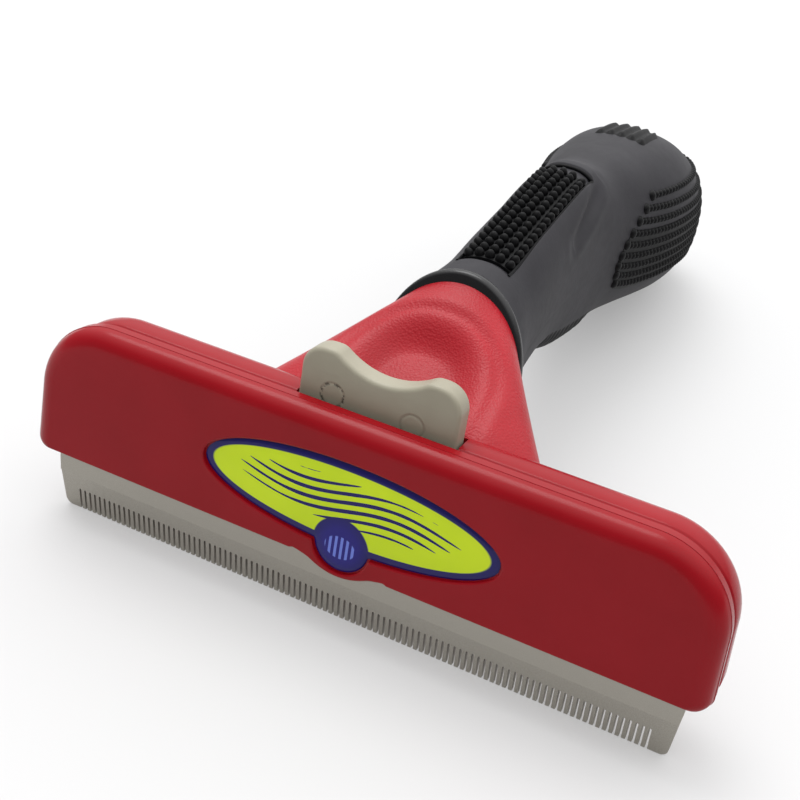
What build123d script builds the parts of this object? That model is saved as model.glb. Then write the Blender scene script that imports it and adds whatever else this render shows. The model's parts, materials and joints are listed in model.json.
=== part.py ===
from build123d import *
import os
from math import copysign, cos, pi, radians, sin

# Deshedding tool: a comb blade in a two-shell head, a thumb-pushed fur ejector and a soft grip.
# The head is drawn in a frame of its own: X across the blade, Y from the cover towards the grip,
# Z up the blade, with the tooth tips at Z = 0 and the blade's front face at Y = 0.
# At the end everything is leaned back together, so that tooth tips and pommel stand on the floor.

# Driving dimensions, mm
REST_LEAN = 9.94  # how far the blade leans back when the tool lies on tips and pommel
CLEAR = 0.3  # gap between pieces that move past each other
PICK = 0.1  # tolerance when picking corners
SHELL = 1.8  # wall of the red cover, and the housing's back wall
HOUSING_WALL = 2.6  # side, top and bottom walls of the rear housing

BLADE_WIDTH = 127.0
BLADE_HEIGHT = 25.0
BLADE_FRONT = -2.0
BLADE_BACK = 0.6
BLADE_TIP_FRONT = -0.3
BLADE_TIP_NARROW = 0.9  # each end draws in by this much at the tips
BLADE_SHOULDER = 11.0  # the ends start to draw in below this height
BLADE_CORNER_RADIUS = 1.5
TOOTH_PITCH = 1.168
SLIT_COUNT = 102
SLIT_WIDTH = 0.45
SLIT_HEIGHT = 4.8
BEVEL_HEIGHT = 8.1
BEVEL_STEP = 0.15

HEAD_HALF_WIDTH = 67.1
HEAD_LOW_HALF_WIDTH = 67.7
HEAD_TOP_RADIUS = 15.0
HEAD_LOW_RADIUS = 2.5
COVER_TOP = 41.9
COVER_BOTTOM = 13.7
COVER_FRONT = -6.0
COVER_BACK = -1.2
COVER_ROLL = 3.0
LOBE_RADIUS = 11.0
LOBE_LOW = 11.7
LOBE_BLEND = 3.0

HOUSING_TOP = 41.2
HOUSING_BOTTOM = 14.3
HOUSING_FRONT = 0.3
HOUSING_BACK = 9.5
HOUSING_ROUND = 5.0
HOUSING_CHAMFER = 0.8
HOUSING_SLOT_BACK = 2.6  # blade and ejector plate leave the head in front of this
HOLDER_BACK = 0.0
HOLDER_INSET = 3.2

BADGE_Z = 26.2
BADGE_HALF_WIDTH = 29.0
BADGE_HALF_HEIGHT = 8.4
BADGE_LOBE_RADIUS = 5.4
BADGE_LOBE_Z = 18.6
BADGE_DEPTH = 1.0
BADGE_RIM = 2.4
BADGE_RIM_TOP = 1.7
BADGE_BASE_THICK = 0.5
BADGE_INK_THICK = 0.2
EMBLEM_RADIUS = 3.6
EMBLEM_LINE = 1.2

HOUSING_SCREW_PLACES = [(x, 31.0) for x in (-58.0, -33.0, 33.0, 58.0)]
BLADE_SCREW_PLACES = [(x, 21.0) for x in (-50.0, -30.0, 30.0, 50.0)]
SCREW_RADIUS = 1.2
SCREW_HEAD_RADIUS = 2.4
SCREW_HEAD_HEIGHT = 1.4
SCREW_TIP = -3.8
SCREW_SINK = 0.2  # housing screw heads sit this much below the surface
POST_RADIUS = 3.0

PLATE_HALF_WIDTH = 60.0
PLATE_LOW = 9.5
PLATE_HEIGHT = 8.0
PLATE_THICK = 1.0
PLATE_FRONT = BLADE_BACK + CLEAR
PLATE_CORNER_RADIUS = 1.0
TONGUE_HALF_WIDTH = 13.0
CARRIAGE_LOW = 26.5
CARRIAGE_TOP = 34.0
CARRIAGE_BACK = 6.6
WING_HALF_WIDTH = 24.0
WING_LOW = 30.5
RIVET_PLACES = [(x, 29.0) for x in (-8.0, 8.0)]
RIVET_RADIUS = 1.0
RIVET_HEAD_RADIUS = 1.8
RIVET_HEAD_HEIGHT = 0.5

BUTTON_HALF_WIDTH = 15.2
BUTTON_TOP = 51.0
BUTTON_FRONT = 0.4
BUTTON_BACK = 5.0
BUTTON_ROUND = 0.8
HORN_RADIUS = 4.4
VALLEY_LOW = 48.0
VALLEY_RADIUS = 14.5
HORN_INNER_RADIUS = 3.0
TAB_HALF_WIDTH = 6.0
TAB_TOP = 42.0
TAB_FRONT = 1.7
TAB_BACK = 3.7
BUTTON_PIN_RADIUS = 0.6
BUTTON_PIN_HALF_LENGTH = 9.0
BUTTON_PIN_Z = 38.0

SPRING_X = 20.0
SPRING_Y = 4.8
SPRING_RADIUS = 1.9
SPRING_WIRE = 0.5
SPRING_TURNS = 6
SPRING_PIN_RADIUS = 1.2
SPRING_PIN_HEIGHT = 3.9
RAIL_THICK = 1.5
RAIL_LOW = 18.0
RAIL_TOP = 38.0

# Neck and grip sections: depth, top, bottom, half width, lean in degrees,
# and power (2 is an ellipse, more is squarer)
NECK_SECTIONS = [
    (8.0, 43.0, 14.5, 32.4, 0.0, 2.0),
    (12.0, 46.0, 15.6, 29.4, -2.0, 2.0),
    (18.0, 50.4, 17.8, 24.3, -5.5, 2.0),
    (24.0, 54.4, 20.0, 19.0, -8.5, 2.0),
    (29.5, 57.4, 21.6, 14.8, -10.5, 2.0),
]
GRIP_SECTIONS = [
    (31.0, 58.6, 21.4, 14.2, -10.5, 2.0),
    (42.0, 60.0, 26.5, 11.4, -6.0, 2.2),
    (54.0, 63.1, 31.0, 10.2, 0.0, 2.4),
    (66.0, 66.5, 32.2, 9.8, 0.0, 2.4),
    (78.0, 69.2, 29.8, 10.1, 0.0, 2.4),
    (86.0, 69.4, 29.4, 10.7, 0.0, 2.4),
    (96.0, 68.7, 30.8, 12.3, 0.0, 2.4),
    (108.0, 69.1, 30.4, 15.0, 0.0, 2.4),
    (120.0, 69.8, 29.2, 17.3, 0.0, 2.4),
    (132.0, 69.1, 27.8, 18.3, 0.0, 2.4),
    (144.0, 66.1, 26.8, 17.7, 0.0, 2.4),
    (154.0, 61.6, 26.9, 15.4, 0.0, 2.4),
    (161.0, 56.2, 29.2, 11.4, 0.0, 2.4),
    (165.0, 50.0, 34.2, 6.0, 0.0, 2.4),
]
SECTION_POINTS = 12
SCOOP_CENTRE = (0.0, 17.0, 57.5)
SCOOP_RADII = (12.5, 12.0, 8.5)
SCOOP_TILT = 33.0
COLLAR_PROUD = 0.8
COLLAR_FRONT = 29.6
COLLAR_BACK = 31.0

CORE_HALF_THICK = 4.5
CORE_INSET = 8.0  # soft skin over the core
TANG_FRONT = 16.0
TANG_BACK = 32.0
TANG_TOP = 42.5
TANG_LOW = 31.0
TANG_PIN_PLACES = [(21.5, 34.0), (21.5, 39.5)]
TANG_PIN_RADIUS = 1.5
TANG_PIN_HALF_LENGTH = 12.0

PAD_THICK = 1.6
THUMB_PAD_FRONT = 41.0
THUMB_PAD_BACK = 84.6
THUMB_PAD_HALF_WIDTH = 5.6
NUB_ROWS = 5
NUBS_PER_ROW = 18
NUB_PITCH_ACROSS = 2.12
NUB_PITCH_ALONG = 2.12
NUB_FIRST_DEPTH = 43.6
NUB_RADIUS = 0.8
NUB_PROUD = 0.7
NUB_ROOT = 0.9
FINGER_PAD_FRONT = 62.0
FINGER_PAD_BACK = 94.0
FINGER_PAD_HALF_WIDTH = 6.0
FINGER_PAD_LINE = [(0.0, 33.8), (0.5, 31.8), (1.0, 33.2)]  # share of the length, height
POMMEL_PAD_FRONT = 104.0
POMMEL_PAD_CUT = 13.4  # the pommel pads are what lies outside this half width
CAP_PAD_FRONT = 120.0
CAP_PAD_BACK = 139.0
CAP_PAD_HALF_WIDTH = 7.0
CAP_RIB_COUNT = 5
CAP_RIB_WIDTH = 1.4
CAP_RIB_PITCH = 2.8
CAP_RIB_PROUD = 0.6
CAP_RIB_MARGIN = 1.0


def slab(sketch, front, back):
    """Extrude an (x, z) sketch from depth front to depth back."""
    return extrude(Plane.XZ.offset(-back) * sketch, amount=back - front)


def rods(places, radius, front, back):
    """One round bar along Y at each (x, z) place."""
    return [slab(Pos(x, z) * Circle(radius), front, back) for x, z in places]


def cross_rod(depth, height, radius, half_length):
    """A round bar along X, centred on the middle of the tool."""
    return Pos(0, depth, height) * Rot(0, 90, 0) * Cylinder(radius, 2 * half_length)


def block(x0, x1, y0, y1, z0, z1):
    """A box between two corners."""
    centre = Pos((x0 + x1) / 2, (y0 + y1) / 2, (z0 + z1) / 2)
    return centre * Box(x1 - x0, y1 - y0, z1 - z0)


def joined(solids):
    """Separate solids kept together as one group."""
    return Compound(children=[Part() + solid for solid in solids])


def section(depth, top, bottom, half_width, lean, power):
    """An upright rounded section across the neck or grip."""
    normal = (0, cos(radians(lean)), sin(radians(lean)))
    plane = Plane(origin=(0, depth, (top + bottom) / 2), x_dir=(1, 0, 0), z_dir=normal)
    half_height = (top - bottom) / 2
    points = []
    for index in range(SECTION_POINTS):
        turn = 2 * pi * index / SECTION_POINTS
        across = copysign(abs(cos(turn)) ** (2 / power), cos(turn))
        up = copysign(abs(sin(turn)) ** (2 / power), sin(turn))
        points.append((half_width * across, half_height * up))
    return plane * make_face(Spline(*points, periodic=True))


def swept_body(rows):
    """A smooth body through a list of oval sections."""
    return loft([section(*row) for row in rows])


def head_outline(top, bottom):
    """The D-shaped outline that cover and housing share."""
    right = [(HEAD_LOW_HALF_WIDTH, bottom), (HEAD_HALF_WIDTH, top)]
    left = [(-HEAD_HALF_WIDTH, top), (-HEAD_LOW_HALF_WIDTH, bottom)]
    outline = make_face(Polyline(*right, *left, close=True))
    outline = fillet(outline.vertices().sort_by(Axis.Y)[2:], HEAD_TOP_RADIUS)
    return fillet(outline.vertices().sort_by(Axis.Y)[:2], HEAD_LOW_RADIUS)


def cover_outline():
    """The head's outline with the round lobe below the badge."""
    outline = head_outline(COVER_TOP, COVER_BOTTOM)
    outline += Pos(0, LOBE_LOW + LOBE_RADIUS) * Circle(LOBE_RADIUS)
    blend = [v for v in outline.vertices() if abs(v.X) < LOBE_RADIUS and v.Y < COVER_BOTTOM + PICK]
    return fillet(blend, LOBE_BLEND)


def badge_outline(grow):
    """The oval badge with its round lobe, grown by a margin."""
    oval = Pos(0, BADGE_Z) * Ellipse(BADGE_HALF_WIDTH + grow, BADGE_HALF_HEIGHT + grow)
    return oval + Pos(0, BADGE_LOBE_Z) * Circle(BADGE_LOBE_RADIUS + grow)


def screws(places, head_front):
    """Pan-head screws that point towards the cover."""
    heads = rods(places, SCREW_HEAD_RADIUS, head_front, head_front + SCREW_HEAD_HEIGHT)
    shanks = rods(places, SCREW_RADIUS, SCREW_TIP, head_front)
    return joined([head + shank for head, shank in zip(heads, shanks)])


def make_front_cover():
    outline = cover_outline()
    cover = slab(outline, COVER_FRONT, COVER_BACK)
    cover = fillet(cover.faces().sort_by(Axis.Y)[0].edges(), COVER_ROLL)
    cover -= slab(offset(outline, -SHELL), COVER_FRONT + SHELL, COVER_BACK)
    cover += rods(HOUSING_SCREW_PLACES, POST_RADIUS, COVER_FRONT + SHELL, COVER_BACK)
    cover += rods(BLADE_SCREW_PLACES, POST_RADIUS, COVER_FRONT + SHELL, BLADE_FRONT)
    cover -= rods(HOUSING_SCREW_PLACES + BLADE_SCREW_PLACES, SCREW_RADIUS, SCREW_TIP, COVER_BACK)
    half = BLADE_WIDTH / 2 + CLEAR
    cover -= block(-half, half, BLADE_FRONT, COVER_BACK, 0, COVER_BOTTOM + 2 * SHELL)
    return cover - slab(badge_outline(0), COVER_FRONT, COVER_FRONT + BADGE_DEPTH)


def make_blade_holder():
    outline = offset(head_outline(HOUSING_TOP, HOUSING_BOTTOM), -HOLDER_INSET)
    holder = slab(outline, COVER_BACK, HOLDER_BACK)
    half = HEAD_LOW_HALF_WIDTH
    holder -= block(-half, half, COVER_BACK, HOLDER_BACK, 0, BLADE_HEIGHT)
    return holder - rods(HOUSING_SCREW_PLACES, SCREW_RADIUS, COVER_BACK, HOLDER_BACK)


def make_comb_blade():
    half = BLADE_WIDTH / 2
    tip_half = half - BLADE_TIP_NARROW
    right = [(tip_half, 0), (half, BLADE_SHOULDER), (half, BLADE_HEIGHT)]
    left = [(-x, z) for x, z in reversed(right)]
    blade = make_face(Polyline(*right, *left, close=True))
    blade = fillet(blade.vertices().sort_by(Axis.Y)[:2], BLADE_CORNER_RADIUS)
    blade -= [Pos(x, z) * Circle(SCREW_RADIUS) for x, z in BLADE_SCREW_PLACES]
    slit = SlotOverall(2 * SLIT_HEIGHT, SLIT_WIDTH, rotation=90)
    first = -TOOTH_PITCH * (SLIT_COUNT - 1) / 2
    blade -= [Pos(first + index * TOOTH_PITCH, 0) * slit for index in range(SLIT_COUNT)]
    ahead = BLADE_FRONT - 1
    bevel = Polyline(
        (ahead, BEVEL_HEIGHT),
        (BLADE_FRONT + BEVEL_STEP, BEVEL_HEIGHT),
        (BLADE_TIP_FRONT, 0),
        (ahead, 0),
        close=True,
    )
    blade = slab(blade, BLADE_FRONT, BLADE_BACK)
    return blade - extrude(Plane.YZ * make_face(bevel), amount=half, both=True)


def make_neck():
    return swept_body(NECK_SECTIONS)


def make_handle_core():
    inner = [(row[0], row[1] - CORE_INSET, row[2] + CORE_INSET) for row in GRIP_SECTIONS[1:-3]]
    tang_low = [(TANG_BACK, TANG_LOW), (TANG_FRONT, TANG_LOW)]
    tang_top = [(TANG_FRONT, TANG_TOP), (TANG_BACK, TANG_TOP)]
    top = [(depth, z) for depth, z, _ in inner]
    low = [(depth, z) for depth, _, z in reversed(inner)]
    profile = make_face(Polyline(*tang_low, *tang_top, *top, *low, close=True))
    core = extrude(Plane.YZ * profile, amount=CORE_HALF_THICK, both=True)
    for pin in make_tang_pins():
        core -= pin
    return core


def make_tang_pins():
    return [cross_rod(y, z, TANG_PIN_RADIUS, TANG_PIN_HALF_LENGTH) for y, z in TANG_PIN_PLACES]


def make_scoop():
    """The hollow for the thumb behind the button."""
    return Pos(*SCOOP_CENTRE) * Rot(SCOOP_TILT, 0, 0) * scale(Sphere(1), by=SCOOP_RADII)


def make_rear_housing(core):
    outline = head_outline(HOUSING_TOP, HOUSING_BOTTOM)
    shell = slab(outline, HOUSING_FRONT, HOUSING_BACK)
    shell = fillet(shell.faces().sort_by(Axis.Y)[-1].edges(), HOUSING_ROUND)
    shell = chamfer(shell.faces().sort_by(Axis.Y)[0].edges(), HOUSING_CHAMFER)
    shell -= slab(offset(outline, -HOUSING_WALL), HOUSING_FRONT, HOUSING_BACK - SHELL)
    shell += rods(HOUSING_SCREW_PLACES, POST_RADIUS, HOLDER_BACK, HOUSING_BACK - SHELL)
    shell += make_neck() - make_scoop()
    # way down for the button, and out of the bottom for blade and plate
    half = BUTTON_HALF_WIDTH + CLEAR
    shell -= block(-half, half, COVER_BACK, BUTTON_BACK + CLEAR, HOUSING_TOP - 2 * HOUSING_WALL, BUTTON_TOP)
    half = BLADE_WIDTH / 2 + CLEAR
    shell -= block(-half, half, COVER_BACK, HOUSING_SLOT_BACK, 0, HOUSING_BOTTOM + 2 * HOUSING_WALL)
    shell -= rods(HOUSING_SCREW_PLACES, SCREW_RADIUS, COVER_BACK, HOUSING_BACK)
    head_front = HOUSING_BACK - SCREW_SINK - SCREW_HEAD_HEIGHT
    shell -= rods(HOUSING_SCREW_PLACES, SCREW_HEAD_RADIUS, head_front, HOUSING_BACK)
    for rod in make_tang_pins() + make_spring_pins():
        shell -= rod
    return shell - core


def make_spring_pins():
    height = HOUSING_WALL + SPRING_PIN_HEIGHT
    pin = Cylinder(SPRING_PIN_RADIUS, height)
    return [Pos(x, SPRING_Y, HOUSING_BOTTOM + height / 2) * pin for x in (-SPRING_X, SPRING_X)]


def make_return_spring(side):
    low = HOUSING_BOTTOM + HOUSING_WALL + SPRING_WIRE / 2
    length = WING_LOW - low - SPRING_WIRE / 2
    path = Helix(pitch=length / SPRING_TURNS, height=length, radius=SPRING_RADIUS)
    wire = Plane(origin=path @ 0, z_dir=path % 0) * Circle(SPRING_WIRE / 2)
    return Pos(side * SPRING_X, SPRING_Y, low) * sweep(wire, path=path, is_frenet=True)


def make_guide_rails():
    inner = WING_HALF_WIDTH + CLEAR
    back = HOUSING_BACK - SHELL
    right = block(inner, inner + RAIL_THICK, HOUSING_SLOT_BACK, back, RAIL_LOW, RAIL_TOP)
    return joined([right, mirror(right, about=Plane.YZ)])


def make_button_pin():
    return cross_rod((TAB_FRONT + TAB_BACK) / 2, BUTTON_PIN_Z, BUTTON_PIN_RADIUS, BUTTON_PIN_HALF_LENGTH)


def make_ejector_plate():
    bar = Pos(0, PLATE_LOW + PLATE_HEIGHT / 2) * Rectangle(2 * PLATE_HALF_WIDTH, PLATE_HEIGHT)
    bar = fillet(bar.vertices(), PLATE_CORNER_RADIUS)
    tongue_height = CARRIAGE_TOP - PLATE_LOW
    bar += Pos(0, PLATE_LOW + tongue_height / 2) * Rectangle(2 * TONGUE_HALF_WIDTH, tongue_height)
    bar -= [Pos(x, z) * Circle(RIVET_RADIUS) for x, z in RIVET_PLACES]
    return slab(bar, PLATE_FRONT, PLATE_FRONT + PLATE_THICK)


def make_ejector_carriage():
    front = PLATE_FRONT + PLATE_THICK
    middle = TONGUE_HALF_WIDTH
    carriage = block(-middle, middle, front, CARRIAGE_BACK, CARRIAGE_LOW, CARRIAGE_TOP)
    wing = WING_HALF_WIDTH
    carriage += block(-wing, wing, front + CLEAR, CARRIAGE_BACK, WING_LOW, CARRIAGE_TOP)
    carriage += block(-TAB_HALF_WIDTH, TAB_HALF_WIDTH, TAB_FRONT, TAB_BACK, CARRIAGE_TOP, TAB_TOP)
    carriage -= make_button_pin()
    return carriage - rods(RIVET_PLACES, RIVET_RADIUS, front, CARRIAGE_BACK)


def make_plate_rivets():
    heads = rods(RIVET_PLACES, RIVET_HEAD_RADIUS, CARRIAGE_BACK, CARRIAGE_BACK + RIVET_HEAD_HEIGHT)
    shanks = rods(RIVET_PLACES, RIVET_RADIUS, PLATE_FRONT, CARRIAGE_BACK)
    return joined([head + shank for head, shank in zip(heads, shanks)])


def make_ejector_button():
    height = BUTTON_TOP - CARRIAGE_TOP
    outline = Pos(0, CARRIAGE_TOP + height / 2) * Rectangle(2 * BUTTON_HALF_WIDTH, height)
    outline -= Pos(0, VALLEY_LOW + VALLEY_RADIUS) * Circle(VALLEY_RADIUS)
    outer = [v for v in outline.vertices() if v.Y > VALLEY_LOW and abs(v.X) > BUTTON_HALF_WIDTH - PICK]
    outline = fillet(outer, HORN_RADIUS)
    horn_x = BUTTON_HALF_WIDTH - HORN_RADIUS - PICK
    inner = [v for v in outline.vertices() if v.Y > VALLEY_LOW and abs(v.X) < horn_x]
    outline = fillet(inner, HORN_INNER_RADIUS)
    button = slab(outline, BUTTON_FRONT, BUTTON_BACK)
    ends = [button.faces().sort_by(Axis.Y)[0], button.faces().sort_by(Axis.Y)[-1]]
    edges = [edge for face in ends for edge in face.edges() if edge.center().Z > CARRIAGE_TOP + 1]
    button = fillet(edges, BUTTON_ROUND)
    button -= block(-TAB_HALF_WIDTH, TAB_HALF_WIDTH, TAB_FRONT, TAB_BACK, CARRIAGE_TOP, TAB_TOP)
    return button - make_button_pin()


def make_badge():
    """Base, printed face, emblem and clear dome, front of each on the next one's back."""
    base_back = COVER_FRONT + BADGE_DEPTH
    ink_back = base_back - BADGE_BASE_THICK
    dome_back = ink_back - BADGE_INK_THICK
    whole = badge_outline(0)
    lobe = Pos(0, BADGE_LOBE_Z) * Circle(BADGE_LOBE_RADIUS)
    oval = Ellipse(BADGE_HALF_WIDTH - BADGE_RIM, BADGE_HALF_HEIGHT - BADGE_RIM_TOP)
    face = Pos(0, BADGE_Z) * oval - lobe
    emblem = Pos(0, BADGE_LOBE_Z) * (Circle(EMBLEM_RADIUS) - Circle(EMBLEM_RADIUS - EMBLEM_LINE))
    return {
        "badge_base": slab(whole, ink_back, base_back),
        "badge_face": slab(face, dome_back, ink_back),
        "badge_emblem": slab(emblem, dome_back, ink_back),
        "badge_dome": slab(whole, COVER_FRONT, ink_back) - slab(face + emblem, dome_back, ink_back),
    }


def make_grip_collar(neck, core):
    _, top, bottom, half_width, lean, power = GRIP_SECTIONS[0]
    size = (top + COLLAR_PROUD, bottom - COLLAR_PROUD, half_width + COLLAR_PROUD, lean, power)
    front = (COLLAR_FRONT, *size)
    back = (COLLAR_BACK, *size)
    return swept_body([front, back]) - neck - core


def grip_top(x, depth):
    """Height of the grip's upper surface, from the sections on each side of a depth."""
    rows = GRIP_SECTIONS
    index = next(i for i in range(len(rows) - 1) if rows[i + 1][0] >= depth)
    share = (depth - rows[index][0]) / (rows[index + 1][0] - rows[index][0])
    row = [a + (b - a) * share for a, b in zip(rows[index], rows[index + 1])]
    _, top, bottom, half, _, power = row
    return (top + bottom) / 2 + (top - bottom) / 2 * (1 - abs(x / half) ** power) ** (1 / power)


def top_skin(front, back, half_width):
    """A prism over the top of the grip, reaching PAD_THICK below its surface."""
    rows = GRIP_SECTIONS
    depths = [front] + [row[0] for row in rows if front < row[0] < back] + [back]
    line = [(depth, grip_top(half_width, depth) - PAD_THICK) for depth in depths]
    profile = make_face(Polyline(*line, (back, COVER_TOP * 2), (front, COVER_TOP * 2), close=True))
    return extrude(Plane.YZ * profile, amount=half_width, both=True)


def make_thumb_pad(grip):
    pad = grip & top_skin(THUMB_PAD_FRONT, THUMB_PAD_BACK, THUMB_PAD_HALF_WIDTH)
    nubs = []
    for row in range(NUB_ROWS):
        x = (row - (NUB_ROWS - 1) / 2) * NUB_PITCH_ACROSS
        for index in range(NUBS_PER_ROW):
            depth = NUB_FIRST_DEPTH + index * NUB_PITCH_ALONG
            middle = grip_top(x, depth) + (NUB_PROUD - NUB_ROOT) / 2
            nubs.append(Pos(x, depth, middle) * Cylinder(NUB_RADIUS, NUB_PROUD + NUB_ROOT))
    return pad + nubs


def make_cap_pad(grip):
    pad = grip & top_skin(CAP_PAD_FRONT, CAP_PAD_BACK, CAP_PAD_HALF_WIDTH)
    front = CAP_PAD_FRONT + CAP_RIB_MARGIN
    back = CAP_PAD_BACK - CAP_RIB_MARGIN
    for index in range(CAP_RIB_COUNT):
        x = (index - (CAP_RIB_COUNT - 1) / 2) * CAP_RIB_PITCH
        line = [(depth, grip_top(x, depth)) for depth in (front, (front + back) / 2, back)]
        top = [(depth, z + CAP_RIB_PROUD) for depth, z in line]
        low = [(depth, z - CAP_RIB_MARGIN) for depth, z in reversed(line)]
        rib = make_face(Polyline(*top, *low, close=True))
        pad += Pos(x, 0, 0) * extrude(Plane.YZ * rib, amount=CAP_RIB_WIDTH / 2, both=True)
    return pad


def make_finger_pad(grip):
    length = FINGER_PAD_BACK - FINGER_PAD_FRONT
    line = [(FINGER_PAD_FRONT + share * length, z) for share, z in FINGER_PAD_LINE]
    prism = make_face(Polyline((FINGER_PAD_FRONT, 0), *line, (FINGER_PAD_BACK, 0), close=True))
    return grip & extrude(Plane.YZ * prism, amount=FINGER_PAD_HALF_WIDTH, both=True)


def make_parts():
    """Every sub-part in the head's own frame, by name."""
    neck = make_neck()
    core = make_handle_core()
    grip = swept_body(GRIP_SECTIONS)
    half = BLADE_WIDTH / 2
    side = block(POMMEL_PAD_CUT, half, POMMEL_PAD_FRONT, 3 * half, 0, 2 * half)
    parts = {
        "front_cover": make_front_cover(),
        "blade_holder": make_blade_holder(),
        "comb_blade": make_comb_blade(),
        "blade_screws": screws(BLADE_SCREW_PLACES, BLADE_BACK),
        "rear_housing": make_rear_housing(core),
        "housing_screws": screws(HOUSING_SCREW_PLACES, HOUSING_BACK - SCREW_SINK - SCREW_HEAD_HEIGHT),
        "guide_rails": make_guide_rails(),
        "spring_pins": joined(make_spring_pins()),
        "return_spring_left": make_return_spring(-1),
        "return_spring_right": make_return_spring(1),
        "ejector_plate": make_ejector_plate(),
        "ejector_carriage": make_ejector_carriage(),
        "plate_rivets": make_plate_rivets(),
        "ejector_button": make_ejector_button(),
        "button_pin": make_button_pin(),
        **make_badge(),
        "handle_core": core,
        "tang_pins": joined(make_tang_pins()),
        "grip_collar": make_grip_collar(neck, core),
        "thumb_pad": make_thumb_pad(grip),
        "finger_pad": make_finger_pad(grip),
        "pommel_pad_right": grip & side,
        "pommel_pad_left": grip & mirror(side, about=Plane.YZ),
        "pommel_cap_pad": make_cap_pad(grip),
    }
    for name in ("thumb_pad", "finger_pad", "pommel_pad_right", "pommel_pad_left", "pommel_cap_pad"):
        grip -= parts[name]
    parts["grip_shell"] = grip - core - parts["grip_collar"]
    return parts


def place(parts):
    """Lean everything back and put the origin under the middle of the whole tool."""
    leaned = {name: Rot(-REST_LEAN, 0, 0) * shape for name, shape in parts.items()}
    boxes = [shape.bounding_box() for shape in leaned.values()]
    middle_x = (min(b.min.X for b in boxes) + max(b.max.X for b in boxes)) / 2
    middle_y = (min(b.min.Y for b in boxes) + max(b.max.Y for b in boxes)) / 2
    floor = min(b.min.Z for b in boxes)
    print(f"shift {-middle_x:.3f} {-middle_y:.3f} {-floor:.3f}")
    return {name: Pos(-middle_x, -middle_y, -floor) * shape for name, shape in leaned.items()}


def main():
    os.makedirs("parts", exist_ok=True)
    for name, shape in place(make_parts()).items():
        export_step(shape, f"parts/{name}.step")
        box = shape.bounding_box()
        print(f"{name:20s} {shape.volume:10.1f} mm3  lowest {box.min.Z:7.3f}")


main()
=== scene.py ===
import json
from math import atan2, cos, degrees, exp, pi, radians, sin

import bmesh
import bpy
import numpy as np
from mathutils import Matrix, Vector


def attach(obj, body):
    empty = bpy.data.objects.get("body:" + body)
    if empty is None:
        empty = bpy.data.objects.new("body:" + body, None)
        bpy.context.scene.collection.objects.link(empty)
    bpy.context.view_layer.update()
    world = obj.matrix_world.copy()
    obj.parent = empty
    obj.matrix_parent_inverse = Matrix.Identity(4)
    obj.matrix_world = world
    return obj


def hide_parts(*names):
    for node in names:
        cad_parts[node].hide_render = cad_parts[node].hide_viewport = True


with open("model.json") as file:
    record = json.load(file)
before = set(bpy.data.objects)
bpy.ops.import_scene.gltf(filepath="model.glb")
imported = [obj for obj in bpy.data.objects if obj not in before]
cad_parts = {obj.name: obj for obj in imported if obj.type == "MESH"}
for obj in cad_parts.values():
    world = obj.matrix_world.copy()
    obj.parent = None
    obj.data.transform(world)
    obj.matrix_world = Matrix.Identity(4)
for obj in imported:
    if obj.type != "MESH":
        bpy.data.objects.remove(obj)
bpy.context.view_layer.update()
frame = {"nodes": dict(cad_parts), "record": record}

# The head's own frame, in mm: X across the blade, Y from the cover towards the grip, Z up the
# blade, with the tooth tips at Z = 0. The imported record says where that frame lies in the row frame.
MM = 0.001
guard = next(m for m in frame["record"]["mounts"] if m["name"] == "blade_guard")
LEAN = atan2(-guard["axis"][1], -guard["axis"][2])
TIP_DEPTH = 0.15
HEAD = (
    Matrix.Translation(guard["pos_m"])
    @ Matrix.Rotation(-LEAN, 4, "X")
    @ Matrix.Translation((0, -TIP_DEPTH * MM, 0))
    @ Matrix.Scale(MM, 4)
)


# ---------------------------------------------------------------- sizes, in mm in the head's frame

# Head: the cover lies in front of depth 0 and the rear housing behind it.
LOW_HALF_WIDTH = 67.4
TOP_HALF_WIDTH = 66.9
SHOULDER_RADIUS = 15.0
COVER_TOP, COVER_BOTTOM = 41.9, 13.7
COVER_FRONT = -5.85
BULGE_Z, BULGE_RADIUS = 22.7, 11.0
BULGE_HALF_WIDTH = 9.5
BULGE_BLEND = 0.35
HOUSING_TOP, HOUSING_BOTTOM = 41.2, 14.3
GROOVE_FRONT, GROOVE_BACK = -0.75, 0.3
HOLDER_BOTTOM = 25.3
SCREW_PLACES = [(x, 31.0) for x in (-58.0, -33.0, 33.0, 58.0)]
SCREW_HOLE_RADIUS = 2.65

# Badge: an oval with a round lobe below its middle. A half size is across, then up.
BADGE_Z, BADGE_HALF = 26.2, (29.0, 8.4)
LOBE_Z, LOBE_RADIUS = 18.6, 5.4
BADGE_BACK = -5.2
DOME_HEIGHT = 0.615
LIME_Z, LIME_HALF = 26.4, (27.2, 6.9)
STRANDS_Z, STRANDS_HALF = 27.0, (23.0, 4.8)
COMB_Z, COMB_HALF = 18.2, (3.0, 2.2)

# Button: two round horns with a valley between them.
BUTTON_HALF = 15.2
BUTTON_LOW, BUTTON_TOP = 34.5, 51.0
BUTTON_FRONT, BUTTON_BACK, BUTTON_EDGE = 0.4, 5.0, 0.9
HORN_RADIUS, HORN_INNER_RADIUS = 4.4, 3.0
VALLEY_LOW, VALLEY_RADIUS = 48.0, 14.5
PIN_MARK_PLACES = ((-8.5, 42.8), (7.0, 42.2))
PIN_MARK_RADIUS = 2.2

# Neck: the hollow for the thumb is widest at its front and narrows towards the grip.
NECK_FRONT, NECK_BACK = 7.0, 30.4
HOLLOW_FRONT, HOLLOW_LENGTH, HOLLOW_HALF = 12.0, 13.2, 14.6
HOLLOW_POWER = 2.6
HOLLOW_LIP, HOLLOW_DEPTH = 0.7, 3.3

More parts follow.
